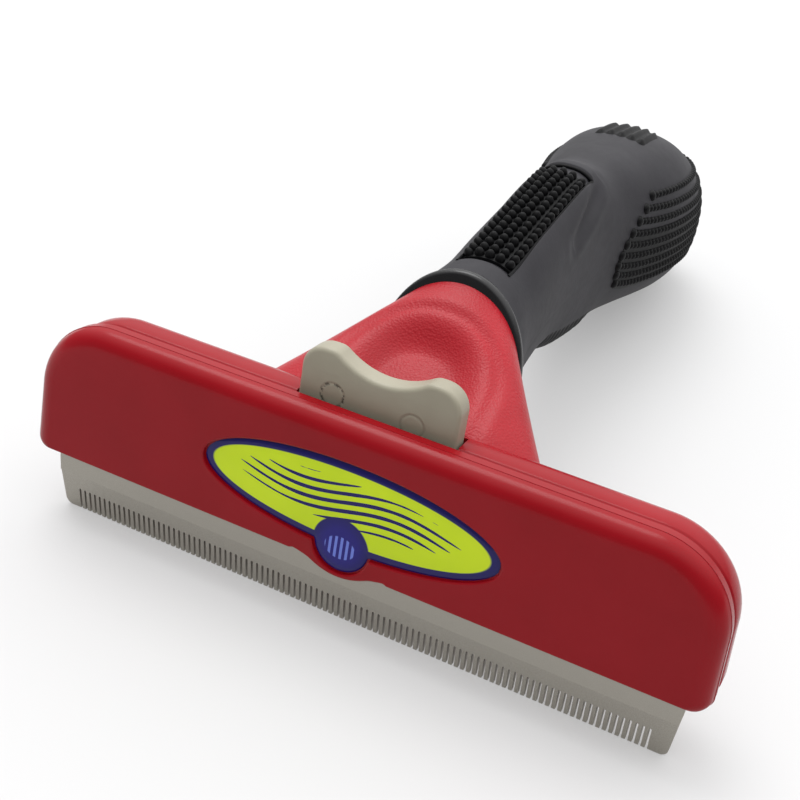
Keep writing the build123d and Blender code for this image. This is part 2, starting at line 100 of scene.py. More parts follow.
# Grip and its pads.
GRIP_FRONT, GRIP_END = 30.6, 165.0
WINDOW_FRONT, WINDOW_BACK = 40.6, 84.6
WINDOW_HALF = 5.7
WINDOW_DEPTH = 0.9
NUB_ROWS, NUBS_PER_ROW = 5, 18
NUB_PITCH, NUB_FRONT = 2.12, 43.6
NUB_RADIUS, NUB_HEIGHT = 1.0, 1.48
# the black patch under the thumb nubs is painted shade: it darkens the floor between them
SHADE_PATCH_FRONT, SHADE_PATCH_BACK, SHADE_PATCH_HALF = 42.4, 80.8, 5.2
POMMEL_ROWS = 9
POMMEL_ROW_TOP, POMMEL_ROW_GAP = 61.0, 2.36
POMMEL_NUB_PITCH = 1.7
CAP_FRONT, CAP_LENGTH, CAP_HALF = 118.2, 17.8, 6.4
CAP_RIB_PITCH = 2.56
FINGER_FRONT, FINGER_BACK = 66.0, 92.0
FINGER_SPREAD = 0.95  # radians each way from straight below
FINGER_RIDGE_PITCH = 2.6


# ---------------------------------------------------------------- shader nodes

# sockets of the colour mix node
MIX_FACTOR, MIX_FIRST, MIX_SECOND, MIX_RESULT = 0, 6, 7, 2
# nearly all of a noise's values lie between these
NOISE_LOW, NOISE_HIGH = 0.3, 0.7


def new_material(name, color, roughness, **sockets):
    """A principled material. Other sockets are given by name, with _ for a space."""
    material = bpy.data.materials.new(name)
    material.use_nodes = True
    shader = material.node_tree.nodes["Principled BSDF"]
    shader.inputs["Base Color"].default_value = (*color, 1)
    shader.inputs["Roughness"].default_value = roughness
    for socket, value in sockets.items():
        shader.inputs[socket.replace("_", " ")].default_value = value
    return material


def node(material, kind, inputs=(), **settings):
    """Adds one node, with its settings, input values and links."""
    made = material.node_tree.nodes.new(kind)
    for key, value in settings.items():
        setattr(made, key, value)
    for key, value in dict(inputs).items():
        if isinstance(value, bpy.types.NodeSocket):
            material.node_tree.links.new(value, made.inputs[key])
        else:
            made.inputs[key].default_value = value
    return made


def shade(material, socket, source):
    """Links a node's output to the shader."""
    shader = material.node_tree.nodes["Principled BSDF"]
    material.node_tree.links.new(source, shader.inputs[socket])


def place_coords(material):
    """Object coordinates, in metres: every piece sits at the origin, so they are the row frame's."""
    return node(material, "ShaderNodeTexCoord").outputs["Object"]


def head_coords(material):
    """Coordinates in the head's own frame, in mm, so that marks sit where the design has them."""
    inverse = HEAD.inverted()
    inputs = {
        "Vector": place_coords(material),
        "Location": inverse.translation,
        "Rotation": inverse.to_euler(),
        "Scale": inverse.to_scale(),
    }
    return node(material, "ShaderNodeMapping", inputs, vector_type="POINT").outputs["Vector"]


def axes(material, vector):
    """A vector's parts along X, Y and Z."""
    split = node(material, "ShaderNodeSeparateXYZ", {"Vector": vector})
    return split.outputs["X"], split.outputs["Y"], split.outputs["Z"]


def calc(material, operation, first, second=0.0):
    """The result of a maths node for two values or sockets."""
    return node(material, "ShaderNodeMath", {0: first, 1: second}, operation=operation).outputs[0]


def noise(material, scale, detail=3.0, vector=None, roughness=0.5):
    """A noise value whose grain is 1 / scale metres."""
    inputs = {"Vector": vector or place_coords(material), "Scale": scale}
    inputs |= {"Detail": detail, "Roughness": roughness}
    return node(material, "ShaderNodeTexNoise", inputs).outputs["Fac"]


def spread(material, value, low, high):
    """Maps a value from 0..1 to low..high."""
    inputs = {"Value": value, "To Min": low, "To Max": high}
    return node(material, "ShaderNodeMapRange", inputs).outputs["Result"]


def below(material, value, edge, soft):
    """1 below the edge and 0 above it, changing over soft each way."""
    inputs = {"Value": value, "From Min": edge - soft, "From Max": edge + soft, "To Min": 1.0, "To Max": 0.0}
    return node(material, "ShaderNodeMapRange", inputs).outputs["Result"]


def oval_reach(material, x, z, centre, wide, tall):
    """0 in the middle of an oval and 1 at its edge."""
    squares = []
    for place, middle, half in ((x, centre[0], wide), (z, centre[1], tall)):
        share = calc(material, "DIVIDE", calc(material, "SUBTRACT", place, middle), half)
        squares.append(calc(material, "MULTIPLY", share, share))
    return calc(material, "SQRT", calc(material, "ADD", *squares))


def blend_colors(material, factor, first, second):
    """The first colour where the factor is 0 and the second where it is 1; both may be sockets."""
    mix = node(material, "ShaderNodeMix", data_type="RGBA")
    links = material.node_tree.links
    links.new(factor, mix.inputs[MIX_FACTOR])
    for socket, color in ((MIX_FIRST, first), (MIX_SECOND, second)):
        if isinstance(color, bpy.types.NodeSocket):
            links.new(color, mix.inputs[socket])
        else:
            mix.inputs[socket].default_value = (*color, 1)
    return mix.outputs[MIX_RESULT]


def between(material, value, first, second):
    """A colour that follows a noise value from the first colour to the second."""
    inputs = {"Value": value, "From Min": NOISE_LOW, "From Max": NOISE_HIGH}
    factor = node(material, "ShaderNodeMapRange", inputs).outputs["Result"]
    return blend_colors(material, factor, first, second)


def bump(material, height, distance, strength=1.0, normal=None):
    """Adds a bump of that height in metres, on top of another if one is given."""
    inputs = {"Height": height, "Distance": distance, "Strength": strength}
    made = node(material, "ShaderNodeBump", inputs)
    if normal is not None:
        material.node_tree.links.new(normal, made.inputs["Normal"])
    shade(material, "Normal", made.outputs["Normal"])
    return made.outputs["Normal"]


# ---------------------------------------------------------------- materials

def red_gloss():
    """Polished moulded red plastic with a faint ripple and fine dust in the gloss."""
    made = new_material("red_gloss", (0.3, 0.006, 0.012), 0.22, Specular_IOR_Level=0.17)
    shade(made, "Base Color", between(made, noise(made, 60.0), (0.235, 0.002, 0.006), (0.262, 0.003, 0.008)))
    shade(made, "Roughness", spread(made, noise(made, 900.0), 0.16, 0.3))
    bump(made, noise(made, 2500.0), 0.00001, 0.25)
    return made


def red_textured():
    """Spark-eroded red plastic: a fine leather-like grain that sparkles softly."""
    made = new_material("red_textured", (0.33, 0.008, 0.015), 0.34, Specular_IOR_Level=0.22)
    shade(made, "Base Color", between(made, noise(made, 70.0), (0.30, 0.006, 0.012), (0.36, 0.01, 0.018)))
    cells = node(made, "ShaderNodeTexVoronoi", {"Vector": place_coords(made), "Scale": 2300.0})
    fine = bump(made, cells.outputs["Distance"], 0.0001, 0.6)
    bump(made, noise(made, 3600.0, 2.0), 0.00004, 0.5, fine)
    shade(made, "Roughness", spread(made, noise(made, 1800.0), 0.28, 0.45))
    return made


def steel(name, color, rough, stretch, grain):
    """Ground steel, its streaks drawn out along the axes with a small stretch value."""
    made = new_material(name, color, rough, Metallic=1.0)
    squeeze = node(made, "ShaderNodeMapping", {"Vector": place_coords(made), "Scale": stretch})
    streak = noise(made, grain, 4.0, squeeze.outputs["Vector"], 0.7)
    light = tuple(min(1.0, c * 1.18) for c in color)
    dark = tuple(c * 0.78 for c in color)
    shade(made, "Base Color", between(made, streak, dark, light))
    shade(made, "Roughness", spread(made, streak, rough - 0.08, rough + 0.1))
    bump(made, streak, 0.00001, 0.4)
    return made


def plastic(name, color, rough, grain=2200.0, depth=0.00003, mottle=0.12, **sockets):
    """Moulded plastic or rubber with a fine surface grain and a little unevenness of colour."""
    made = new_material(name, color, rough, **sockets)
    dark = tuple(c * (1 - mottle) for c in color)
    light = tuple(c * (1 + mottle) for c in color)
    shade(made, "Base Color", between(made, noise(made, 90.0), dark, light))
    shade(made, "Roughness", spread(made, noise(made, 500.0), rough - 0.06, rough + 0.06))
    bump(made, noise(made, grain, 2.0), depth, 0.5)
    return made


NAVY, PALE = (0.009, 0.006, 0.10), (0.14, 0.19, 0.62)
LOBE_NAVY = (0.012, 0.008, 0.16)


def badge_print():
    """The badge's print under clear resin: a lime oval, flowing strands, and a plain comb in the lobe."""
    made = new_material("badge_print", NAVY, 0.12, Specular_IOR_Level=0.25)
    x, _, z = axes(made, head_coords(made))
    lime = between(made, noise(made, 60.0), (0.50, 0.66, 0.006), (0.58, 0.74, 0.01))

    # the strands are the crests of a bent wave, which get thinner towards the ends of the oval
    bend = calc(made, "MULTIPLY", calc(made, "SINE", calc(made, "MULTIPLY", x, 0.16)), -1.6)
    flow = calc(made, "ADD", calc(made, "SUBTRACT", z, STRANDS_Z), bend)
    crest = calc(made, "SINE", calc(made, "MULTIPLY", flow, 3.6))
    out = oval_reach(made, x, z, (0, STRANDS_Z), *STRANDS_HALF)
    thin = calc(made, "MULTIPLY", calc(made, "POWER", out, 3.0), 1.1)
    threshold = calc(made, "ADD", spread(made, noise(made, 130.0), -0.4, 0.6), thin)
    strand = calc(made, "GREATER_THAN", crest, threshold)
    strands = calc(made, "MULTIPLY", strand, below(made, out, 1.0, 0.01))
    oval = below(made, oval_reach(made, x, z, (0, LIME_Z), *LIME_HALF), 1.0, 0.008)
    colour = blend_colors(made, oval, NAVY, blend_colors(made, strands, lime, NAVY))

    middle = below(made, oval_reach(made, x, z, (0, LOBE_Z), 4.4, 4.4), 1.0, 0.25)
    tooth = calc(made, "GREATER_THAN", calc(made, "SINE", calc(made, "MULTIPLY", x, 5.6)), 0.1)
    comb = below(made, oval_reach(made, x, z, (0, COMB_Z), *COMB_HALF), 1.0, 0.03)
    lobe_colour = blend_colors(made, middle, NAVY, LOBE_NAVY)
    lobe_colour = blend_colors(made, calc(made, "MULTIPLY", tooth, comb), lobe_colour, PALE)
    lobe = below(made, oval_reach(made, x, z, (0, LOBE_Z), 5.5, 5.5), 1.0, 0.02)
    shade(made, "Base Color", blend_colors(made, lobe, colour, lobe_colour))
    return made


def button_marked():
    """Satin beige plastic with two faint round pin marks, the left one dirty."""
    made = new_material("button_marked", (0.30, 0.27, 0.20), 0.42, Specular_IOR_Level=0.3)
    x, _, z = axes(made, head_coords(made))
    base = between(made, noise(made, 90.0), (0.265, 0.245, 0.185), (0.30, 0.28, 0.215))
    rings = []
    for place in PIN_MARK_PLACES:
        reach = oval_reach(made, x, z, place, PIN_MARK_RADIUS, PIN_MARK_RADIUS)
        off = calc(made, "ABSOLUTE", calc(made, "SUBTRACT", reach, 1.0))
        rings.append(below(made, off, 0.1, 0.09))
    grit = calc(made, "GREATER_THAN", noise(made, 1700.0, 4.0), 0.53)
    dirt = calc(made, "MULTIPLY", calc(made, "MULTIPLY", rings[0], grit), 0.85)
    colour = blend_colors(made, dirt, base, (0.03, 0.028, 0.022))
    colour = blend_colors(made, calc(made, "MULTIPLY", rings[1], 0.22), colour, (0.1, 0.095, 0.07))
    shade(made, "Base Color", colour)
    groove = calc(made, "MULTIPLY", calc(made, "ADD", *rings), -1.0)
    fine = bump(made, groove, 0.00015, 0.6)
    bump(made, noise(made, 2200.0), 0.00003, 0.5, fine)
    return made


EVEN_STRETCH = (1.0, 1.0, 1.0)
BRUSHED_STRETCH = (1.0, 30.0, 0.06)
RESIN = {"Coat_Weight": 1.0, "Coat_Roughness": 0.03}

MATERIALS = {
    "red_gloss": red_gloss(),
    "red_textured": red_textured(),
    "blade_steel": steel("blade_steel", (0.36, 0.34, 0.30), 0.42, BRUSHED_STRETCH, 9000.0),
    "plain_steel": steel("plain_steel", (0.5, 0.5, 0.5), 0.35, EVEN_STRETCH, 700.0),
    "spring_steel": steel("spring_steel", (0.4, 0.4, 0.42), 0.3, EVEN_STRETCH, 1200.0),
    "button_grey": plastic("button_grey", (0.30, 0.27, 0.20), 0.42, Specular_IOR_Level=0.3),
    "black_plastic": plastic("black_plastic", (0.02, 0.02, 0.022), 0.5),
    "white_plastic": plastic("white_plastic", (0.75, 0.75, 0.72), 0.45, mottle=0.03),
    "grip_rubber": plastic(
        "grip_rubber", (0.022, 0.021, 0.025), 0.62, 1600.0, 0.00005, Specular_IOR_Level=0.24
    ),
    "pad_rubber": plastic("pad_rubber", (0.003, 0.003, 0.0035), 0.5, Specular_IOR_Level=0.12),
    "collar_black": plastic("collar_black", (0.003, 0.003, 0.004), 0.25, Specular_IOR_Level=0.4),
    "badge_navy": plastic("badge_navy", (0.03, 0.018, 0.17), 0.15, 400.0, 0.0, **RESIN),
    "badge_lime": plastic("badge_lime", (0.46, 0.58, 0.015), 0.2, 400.0, 0.0, 0.05, **RESIN),
    "badge_pale": plastic("badge_pale", (0.2, 0.24, 0.6), 0.15, 400.0, 0.0, **RESIN),
    "badge_clear": new_material("badge_clear", (1, 1, 1), 0.02, Transmission_Weight=1.0),
    "badge_print": badge_print(),
    "button_marked": button_marked(),
}


def finish_cad_nodes():
    """Every CAD node that stays visible takes its slot's material."""
    slots = {row["node"]: row["material_slot"] for row in frame["record"]["subparts"]}
    for name, piece in frame["nodes"].items():
        piece.data.materials.clear()
        piece.data.materials.append(MATERIALS[slots[name]])
        piece.data.set_sharp_from_angle(angle=radians(30))


# ---------------------------------------------------------------- mesh helpers

def head_mesh(name, points, faces):
    """A mesh with its faces outward, from points in the head's frame."""
    mesh = bpy.data.meshes.new(name)
    mesh.from_pydata([tuple(map(float, p)) for p in points], [], faces)
    mesh.transform(HEAD)
    work = bmesh.new()
    work.from_mesh(mesh)
    bmesh.ops.remove_doubles(work, verts=work.verts, dist=1e-7)
    bmesh.ops.recalc_face_normals(work, faces=work.faces)
    work.to_mesh(mesh)
    work.free()
    return mesh


def add_piece(name, points, faces, material, body, replaced=(), sharp=32.0):
    """A smooth-shaded piece that rides on a body and replaces CAD nodes, creased past a sharp angle."""
    mesh = head_mesh(name, points, faces)
    mesh.shade_smooth()
    mesh.set_sharp_from_angle(angle=radians(sharp))
    piece = bpy.data.objects.new(name, mesh)
    bpy.context.scene.collection.objects.link(piece)
    mesh.materials.append(MATERIALS[material])
    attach(piece, body)
    if replaced:
        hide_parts(*replaced)
    return piece


def ring_faces(count, size, first=0, close_start=True, close_end=True):
    """Quads between neighbouring closed rings, with an n-gon over each end."""
    faces = []
    for ring in range(count - 1):
        a, b = first + ring * size, first + (ring + 1) * size
        faces += [(a + i, a + (i + 1) % size, b + (i + 1) % size, b + i) for i in range(size)]
    if close_start:
        faces.append(tuple(first + i for i in reversed(range(size))))
    if close_end:
        last = first + (count - 1) * size
        faces.append(tuple(last + i for i in range(size)))
    return faces


def grid_faces(rows, columns):
    """Quads over an open grid of points."""
    faces = []
    for row in range(rows - 1):
        for column in range(columns - 1):
            a = row * columns + column
            faces.append((a, a + 1, a + columns + 1, a + columns))
    return faces


def slab_patch(outer, inner):
    """A closed thin body between two grids of points."""
    rows, columns = outer.shape[:2]
    count = rows * columns
    faces = grid_faces(rows, columns)
    faces += [tuple(count + i for i in reversed(face)) for face in faces]
    rim = list(range(columns)) + [row * columns + columns - 1 for row in range(1, rows)]
    rim += [(rows - 1) * columns + column for column in reversed(range(columns - 1))]
    rim += [row * columns for row in reversed(range(1, rows - 1))]
    for here, ahead in zip(rim, rim[1:] + rim[:1]):
        faces.append((here, ahead, count + ahead, count + here))
    return np.concatenate([outer.reshape(-1, 3), inner.reshape(-1, 3)]), faces


def join(parts):
    """One list of points and faces from several."""
    points, faces = [], []
    for more_points, more_faces in parts:
        start = len(points)
        points += [tuple(p) for p in more_points]
        faces += [tuple(start + i for i in face) for face in more_faces]
    return points, faces


def filled_between(points, faces, loops):
    """The same body with flat faces added between two closed loops of point numbers."""
    work = bmesh.new()
    verts = [work.verts.new(p) for p in points]
    for face in faces:
        work.faces.new([verts[i] for i in face])
    edges = []
    for loop in loops:
        for here, ahead in zip(loop, [*loop[1:], loop[0]]):
            pair = (verts[here], verts[ahead])
            edges.append(work.edges.get(pair) or work.edges.new(pair))
    bmesh.ops.triangle_fill(work, edges=edges, use_beauty=True)
    work.verts.index_update()
    points = [v.co[:] for v in work.verts]
    faces = [tuple(v.index for v in face.verts) for face in work.faces]
    work.free()
    return points, faces


def smooth_step(value, low, high):
    """0 below low and 1 above high, with a soft rise between them."""
    share = np.clip((value - low) / (high - low), 0, 1)
    return share * share * (3 - 2 * share)


def swell(distance, width):
    """1 at no distance, falling softly to 0 at about twice the width."""
    return np.exp(-((distance / width) ** 2))


def arc(centre, radius, start, end, steps):
    """Points of an arc, angles in degrees."""
    turn = np.radians(np.linspace(start, end, steps))
    return [(centre[0] + radius * cos(t), centre[1] + radius * sin(t)) for t in turn]


def cutter(parts):
    """A temporary object that cut() takes away."""
    made = bpy.data.objects.new("cutter", head_mesh("cutter", *join(parts)))
    bpy.context.scene.collection.objects.link(made)
    return made


def cut(piece, tool):
    """Takes the tool's volume away from the piece, and removes the tool."""
    modifier = piece.modifiers.new("cut", "BOOLEAN")
    modifier.operation = "DIFFERENCE"
    modifier.solver = "EXACT"
    modifier.object = tool
    graph = bpy.context.evaluated_depsgraph_get()
    mesh = bpy.data.meshes.new_from_object(piece.evaluated_get(graph))
    piece.modifiers.clear()
    old = piece.data
    piece.data = mesh
    bpy.data.meshes.remove(old)
    bpy.data.objects.remove(tool)
    mesh.shade_smooth()
    mesh.set_sharp_from_angle(angle=radians(32))


def box_mesh(x0, x1, y0, y1, z0, z1):
    """A box between two corners."""
    corners = [(x0, y0), (x1, y0), (x1, y1), (x0, y1)]
    points = [(x, y, z) for z in (z0, z1) for x, y in corners]
    return points, ring_faces(2, 4)


def drum_mesh(x, z, radius, y0, y1, steps=32):
    """A round bar along the depth."""
    ring = arc((x, z), radius, 0, 360 - 360 / steps, steps)
    return [(px, y, pz) for y in (y0, y1) for px, pz in ring], ring_faces(2, steps)


# ---------------------------------------------------------------- head: cover and rear housing

ARC_STEPS = 20
EDGE_STEPS = 40
BADGE_STEPS = 180


def head_ring(depth, side, low, top=COVER_TOP, bottom=COVER_BOTTOM, lobe=True):
    """One closed ring round the head at a depth, drawn in by side at the top and ends and by low below."""
    top_z, low_z = top - side, bottom + low
    upper, lower = TOP_HALF_WIDTH - side, LOW_HALF_WIDTH - side
    radius = SHOULDER_RADIUS - side
    corner = max(0.6, 2.5 - 0.4 * side)
    ring = arc((upper - radius, top_z - radius), radius, 0, 90, ARC_STEPS)
    ring += [(x, top_z) for x in np.linspace(upper - radius, radius - upper, EDGE_STEPS)[1:-1]]
    ring += arc((radius - upper, top_z - radius), radius, 90, 180, ARC_STEPS)
    ring += arc((corner - lower, low_z + corner), corner, 180, 270, ARC_STEPS // 2)
    for x in np.linspace(corner - lower, lower - corner, 4 * EDGE_STEPS)[1:-1]:
        ring.append((x, low_edge(x, low_z, low) if lobe else low_z))
    ring += arc((lower - corner, low_z + corner), corner, 270, 360, ARC_STEPS // 2)
    return [(x, depth, z) for x, z in ring]


def low_edge(x, straight, inset):
    """The cover's lower edge: straight, with a round bulge in the middle that blends in softly."""
    if abs(x) > BULGE_HALF_WIDTH:
        return straight
    radius = BULGE_RADIUS - inset
    round_z = BULGE_Z - (radius**2 - x**2) ** 0.5 if abs(x) < radius else straight + 5
    gap = round_z - straight
    blended = (straight + round_z) / 2 - ((gap / 2) ** 2 + BULGE_BLEND**2) ** 0.5
    return blended + BULGE_BLEND * smooth_step(abs(x), 6.5, BULGE_HALF_WIDTH)


def badge_ring(grow, depth):
    """The badge's outline at a depth, larger by grow all round."""
    wide, tall = BADGE_HALF[0] + grow, BADGE_HALF[1] + grow
    lobe, drop = LOBE_RADIUS + grow, LOBE_Z - BADGE_Z
    points = []
    for turn in np.linspace(0, 2 * pi, BADGE_STEPS, endpoint=False):
        across, up = cos(turn), sin(turn)
        reach = 1 / ((across / wide) ** 2 + (up / tall) ** 2) ** 0.5
        inside = (up * drop) ** 2 - drop**2 + lobe**2
        if up < 0 and inside > 0:
            reach = max(reach, up * drop + inside**0.5)
        points.append((across * reach, depth, BADGE_Z + up * reach))
    return points


def make_cover():
    """Front cover: flat face, wide rolled edge, a fine parting ridge and a pocket for the badge."""
    # depth, then how far the ring is drawn in at the top and ends, and below
    rows = [(-4.2, 2.2, 2.2), (-0.7, 1.9, 1.9), (-0.7, 0.2, 0.2), (-0.9, 0.0, 0.0), (-2.55, 0.0, 0.0)]
    rows += [(-2.6, -0.07, 0.0), (-2.72, -0.07, 0.0), (-2.76, 0.02, 0.0)]
    for turn in np.radians(np.linspace(8, 90, 16)):
        low = 2.8 * max(0, sin(turn) - 0.5) ** 2
        rows.append((-2.75 - 3.1 * sin(turn), 0.1 + 3.7 * (1 - cos(turn)), low))
    rows.append((COVER_FRONT, 4.1, 0.95))
    rings = [head_ring(*row) for row in rows]
    points = [p for ring in rings for p in ring]
    faces = ring_faces(len(rings), len(rings[0]), close_end=False)
    start, last = len(points), len(points) - len(rings[0])
    pocket = [badge_ring(0.55, COVER_FRONT), badge_ring(0.3, -5.7), badge_ring(0.25, BADGE_BACK)]
    points += [p for ring in pocket for p in ring]
    faces += ring_faces(len(pocket), BADGE_STEPS, start, close_start=False)
    points, faces = filled_between(points, faces, [range(last, start), range(start, start + BADGE_STEPS)])
    add_piece("front_cover_shell", points, faces, "red_gloss", "root", ["front_cover"], 28.0)


def make_groove_bar():
    """The blade holder's dark edge, seen in the groove between cover and housing."""
    rings = [head_ring(y, 0.8, 0.0, HOUSING_TOP, HOLDER_BOTTOM, False) for y in (GROOVE_FRONT, GROOVE_BACK)]
    points = [p for ring in rings for p in ring]
    add_piece("blade_holder_edge", points, ring_faces(2, len(rings[0])), "black_plastic", "root")


def make_housing():
    """Rear housing: chamfered front rim, flat edge band and a round back, with its openings."""
    # depth, then how far the ring is drawn in at the top and ends, and below
    rows = [(7.6, 2.8, 2.4), (0.3, 2.8, 2.4), (0.3, 1.0, 0.8), (1.15, 0.12, 0.1), (1.35, 0.0, 0.0)]
    rows.append((4.3, 0.0, 0.0))
    for turn in np.radians(np.linspace(6, 90, 18)):
        rows.append((4.5 + 5.0 * sin(turn), 5.0 * (1 - cos(turn)), 3.6 * (1 - cos(turn))))
    rings = [head_ring(*row, HOUSING_TOP, HOUSING_BOTTOM, False) for row in rows]
    points = [p for ring in rings for p in ring]
    faces = ring_faces(len(rings), len(rings[0]))
    shell = add_piece("rear_housing_shell", points, faces, "red_gloss", "root", ["rear_housing"])
    holes = [drum_mesh(x, z, SCREW_HOLE_RADIUS, 7.8, 10.0) for x, z in SCREW_PLACES]
    button_notch = box_mesh(-15.7, 15.7, -1, 5.4, 36.0, 50.0)
    blade_slot = box_mesh(-64.0, 64.0, -1, 2.6, 10.0, 19.0)
    cut(shell, cutter([*holes, button_notch, blade_slot]))


# ---------------------------------------------------------------- neck, collar and grip

# depth, top, bottom, half width, lean in degrees, power (2 is an ellipse, more is squarer)
NECK_ROWS = [
    (6.5, 42.0, 14.6, 33.5, 0.0, 2.0),
    (9.0, 44.0, 15.2, 31.6, -0.5, 2.0),
    (12.0, 46.2, 16.0, 29.2, -2.0, 2.0),
    (18.0, 50.4, 18.0, 24.2, -5.5, 2.0),
    (24.0, 54.4, 20.0, 19.2, -8.5, 2.0),
    (30.4, 57.7, 21.8, 14.2, -10.5, 2.0),
]
GRIP_ROWS = [
    (30.6, 58.4, 21.4, 14.3, -10.5, 2.0),
    (36.0, 59.2, 24.0, 12.8, -8.5, 2.1),
    (42.0, 60.0, 26.5, 11.4, -6.0, 2.2),
    (54.0, 63.1, 31.0, 10.2, 0.0, 2.4),
    (66.0, 66.5, 32.2, 9.8, 0.0, 2.4),
    (78.0, 69.2, 29.8, 10.1, 0.0, 2.4),
    (86.0, 69.4, 29.4, 10.7, 0.0, 2.4),
    (96.0, 68.7, 30.8, 12.3, 0.0, 2.4),
    (108.0, 69.0, 30.4, 15.0, 0.0, 2.4),
    (120.0, 69.7, 29.2, 17.3, 0.0, 2.4),
    (132.0, 69.0, 27.8, 18.3, 0.0, 2.4),
    (144.0, 66.0, 26.9, 17.7, 0.0, 2.3),
    (152.0, 62.4, 27.0, 15.7, 0.0, 2.3),
    (157.0, 58.9, 27.9, 13.5, 0.0, 2.2),
    (161.0, 55.2, 29.9, 10.7, 0.0, 2.1),
    (163.5, 51.6, 32.6, 7.8, 0.0, 2.0),
    (164.7, 47.7, 36.3, 4.4, 0.0, 2.0),
    (165.0, 42.3, 41.7, 0.3, 0.0, 2.0),
]


def along(rows, depths):
    """Section values at any depth, on a smooth curve through the rows."""
    table = np.array(rows)
    depth = table[:, 0]
    slope = np.gradient(table, depth, axis=0)
    depths = np.clip(depths, depth[0], depth[-1])
    index = np.clip(np.searchsorted(depth, depths) - 1, 0, len(depth) - 2)
    gap = (depth[index + 1] - depth[index])[..., None]
    t = (depths - depth[index])[..., None] / gap
    before = (2 * t**3 - 3 * t**2 + 1) * table[index] + (t**3 - 2 * t**2 + t) * slope[index] * gap
    after = (3 * t**2 - 2 * t**3) * table[index + 1] + (t**3 - t**2) * slope[index + 1] * gap
    return before + after


def surface(rows, depths, turns, grow=0.0):
    """Points on the body through the rows, at turns round it from 0 at the right to pi / 2 on top."""
    value = along(rows, depths)
    top, bottom, half, lean, power = (value[..., i] for i in range(1, 6))
    across = np.sign(np.cos(turns)) * np.abs(np.cos(turns)) ** (2 / power)
    up = np.sign(np.sin(turns)) * np.abs(np.sin(turns)) ** (2 / power)
    rise = up * ((top - bottom) / 2 + grow)
    tilt = np.radians(lean)
    height = (top + bottom) / 2 + rise * np.cos(tilt)
    return np.stack([across * (half + grow), depths - rise * np.sin(tilt), height], -1)


def normals(points):
    """Outward normals of a grid of points that is closed round its second direction."""
    lengthwise = np.gradient(points, axis=0)
    around = np.roll(points, -1, axis=1) - np.roll(points, 1, axis=1)
    normal = np.cross(lengthwise, around)
    size = np.linalg.norm(normal, axis=-1, keepdims=True)
    return normal / np.maximum(size, 1e-9)


def tube(rows, depths, turns, relief):
    """A closed body through the rows, its skin moved along its normals by relief(points)."""
    depth_grid, turn_grid = np.meshgrid(depths, turns, indexing="ij")
    points = surface(rows, depth_grid, turn_grid)
    points = points + normals(points) * relief(points)[..., None]
    return points.reshape(-1, 3), ring_faces(len(depths), len(turns))


def neck_relief(points):
    """The pear-shaped hollow for the thumb, with a soft outer lip and a steeper inner wall."""
    x, y, z = (points[..., i] for i in range(3))
    _, top, bottom, *_ = np.moveaxis(along(NECK_ROWS, y), -1, 0)
    upper = smooth_step(z, (top + bottom) / 2, top - 4)
    ahead = np.maximum(y - HOLLOW_FRONT, 0) / HOLLOW_LENGTH
    reach = ((np.abs(x) / HOLLOW_HALF) ** HOLLOW_POWER + ahead**HOLLOW_POWER) ** (1 / HOLLOW_POWER)
    lip = HOLLOW_LIP * (1 - smooth_step(reach, 1.02, 1.22))
    bowl = HOLLOW_DEPTH * (1 - smooth_step(reach, 0.45, 1.0))
    return -upper * (lip + bowl)


def make_neck():
    """The flared neck between the rear housing and the grip."""
    depths = np.linspace(NECK_FRONT, NECK_BACK, 130)
    turns = np.linspace(0, 2 * pi, 260, endpoint=False)
    points, faces = tube(NECK_ROWS, depths, turns, neck_relief)
    add_piece("rear_housing_neck", points, faces, "red_textured", "root", ["rear_housing"])


def make_collar():
    """A thin glossy band between neck and grip, rounded in front."""
    # depth, and how far the band stands out there
    profile = [(29.3, -2.0), (29.3, 0.2), (29.45, 0.6), (29.8, 0.85), (30.4, 0.95), (31.0, 0.8), (31.3, 0.3)]
    profile.append((31.3, -2.0))
    section = (58.5, 21.3, 14.2, -10.5, 2.0)
    rows = [(depth, *section) for depth in (29.0, 32.0)]
    turns = np.linspace(0, 2 * pi, 160, endpoint=False)
    points = np.concatenate([surface(rows, np.full(len(turns), y), turns, grow) for y, grow in profile])
    faces = ring_faces(len(profile), len(turns))
    add_piece("grip_collar_band", points, faces, "collar_black", "root", ["grip_collar"])


def line_distance(points, start, end):
    """Distance in the side view from the points to a line between two (depth, height) places."""
    start, end = np.array(start), np.array(end)
    offset = points[..., 1:] - start
    share = np.clip(offset @ (end - start) / ((end - start) @ (end - start)), 0, 1)
    return np.linalg.norm(offset - share[..., None] * (end - start), axis=-1), share


def grip_relief(points):
    """Window for the thumb, raised end behind it, side creases and a faint parting line."""
    x, y, z = (points[..., i] for i in range(3))
    top = along(GRIP_ROWS, y)[..., 1]
    outside = np.maximum(np.abs(x) - WINDOW_HALF, np.maximum(WINDOW_FRONT - y, y - WINDOW_BACK))
    upper = smooth_step(z, top - 9, top - 5)
    window = -WINDOW_DEPTH * (1 - smooth_step(outside, -0.5, 0.0)) * upper
    hump = 0.5 * swell(y - 86.5, 3.0) * smooth_step(z, top - 8, top - 1)
    dip = -0.6 * swell(y - 96.0, 6.0) * smooth_step(z, top - 12, top - 1)
    away, share = line_distance(points, (88.0, 67.6), (68.0, 57.5))
    sideways = smooth_step(np.abs(x), 3.5, 5.5)
    fade = np.sin(pi * np.clip(share, 0.02, 0.98)) ** 0.5
    crease = (-1.25 * swell(away, 1.9) + 0.3 * swell(away - 3.0, 1.5)) * sideways * fade
    parting, _ = line_distance(points, (34.0, 42.0), (98.0, 49.0))
    seam = -0.06 * swell(parting, 0.35)
    return window + hump + dip + crease + seam


